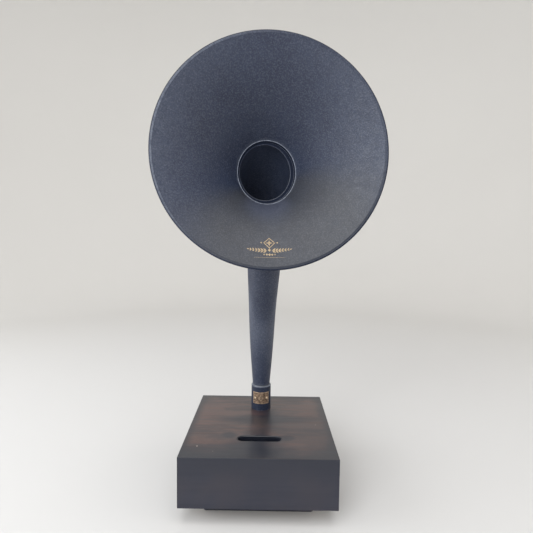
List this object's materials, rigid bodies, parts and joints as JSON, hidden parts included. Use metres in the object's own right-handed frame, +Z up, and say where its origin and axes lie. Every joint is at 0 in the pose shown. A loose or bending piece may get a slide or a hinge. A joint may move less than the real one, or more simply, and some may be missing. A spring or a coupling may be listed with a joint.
{
  "type": "acoustic horn loudspeaker",
  "caption": "Table-top acoustic horn loudspeaker: flared metal horn on a curved neck, lifting out of a collar on a square wooden sound box with a slot for a telephone.",
  "frame": {"origin": "on the ground under the middle of the wooden base", "axes": "+Z up, -Y towards the front with the slot and the horn's mouth, +X to the viewer's right"},
  "size_m": [0.2974, 0.2197, 0.6319],
  "materials": {
    "horn_paint": "fine-textured blue-black powder coat, satin, worn light on its edges",
    "stained_wood": "dark stain under satin lacquer, reddish brown where it is thin",
    "plain_wood": "unfinished inner timber",
    "felt": "black felt",
    "foam": "closed-cell foam strip",
    "brass": "aged satin brass",
    "steel": "plain zinc-plated steel"
  },
  "bodies": {
    "base": {"top_board": "stained_wood", "front_board": "stained_wood", "back_board": "stained_wood", "left_board": "stained_wood", "right_board": "stained_wood", "plinth_board": "stained_wood", "bottom_board": "plain_wood", "slot_guide": "plain_wood", "duct_front": "plain_wood", "duct_back": "plain_wood", "duct_left": "plain_wood", "duct_right": "plain_wood", "front_deflector": "plain_wood", "back_deflector": "plain_wood", "phone_rest_left": "plain_wood", "phone_rest_right": "plain_wood", "corner_block_front_left": "plain_wood", "corner_block_front_right": "plain_wood", "corner_block_back_left": "plain_wood", "corner_block_back_right": "plain_wood", "felt_base": "felt", "slot_liner": "felt", "rest_pad_left": "felt", "rest_pad_right": "felt", "duct_seal": "foam", "bottom_screws": "steel", "plinth_screws": "steel", "socket_nut": "steel", "nameplate": "brass", "nameplate_screws": "brass", "neck_socket": "horn_paint"},
    "seat": {"seat_washer": "felt"},
    "horn": {"spigot": "steel", "neck_pipe": "horn_paint", "neck_coupling": "steel", "elbow_lower": "horn_paint", "elbow_upper": "horn_paint", "throat_ring": "horn_paint", "bell": "horn_paint", "rim_bead": "horn_paint"}
  },
  "joints": [
    {"name": "horn_swivel", "type": "hinge", "parent": "base", "child": "seat", "pos_m": [0, 0.0584, 0.0955], "axis": [0, 0, 1], "continuous": true},
    {"name": "horn_lift", "type": "slide", "parent": "seat", "child": "horn", "axis": [0, 0, 1], "range_m": [0, 0.04]}
  ]
}
